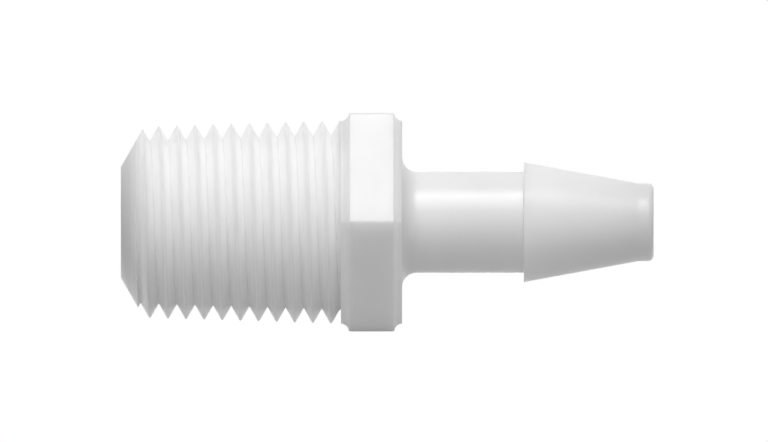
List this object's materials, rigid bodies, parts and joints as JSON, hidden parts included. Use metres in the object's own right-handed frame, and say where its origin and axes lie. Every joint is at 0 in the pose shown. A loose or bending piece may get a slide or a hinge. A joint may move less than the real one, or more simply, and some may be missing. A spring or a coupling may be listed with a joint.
{
  "type": "threaded hose nipple",
  "caption": "Straight moulded plastic fitting: tapered external pipe thread, hexagon for a spanner, and a barbed tail that a flexible hose is pushed onto, with a bore right through.",
  "frame": {"origin": "centre of the thread's end face, on the axis of the bore", "axes": "+X along the bore, from the thread to the tip of the barb; +Z out of one flat of the hexagon, so that the part lies on the opposite flat; +/-Y out of two corners of the hexagon"},
  "size_m": [0.0277, 0.013, 0.0114],
  "materials": {
    "white_plastic": "satin"
  },
  "bodies": {
    "root": {"hose_nipple": "white_plastic"}
  },
  "joints": []
}
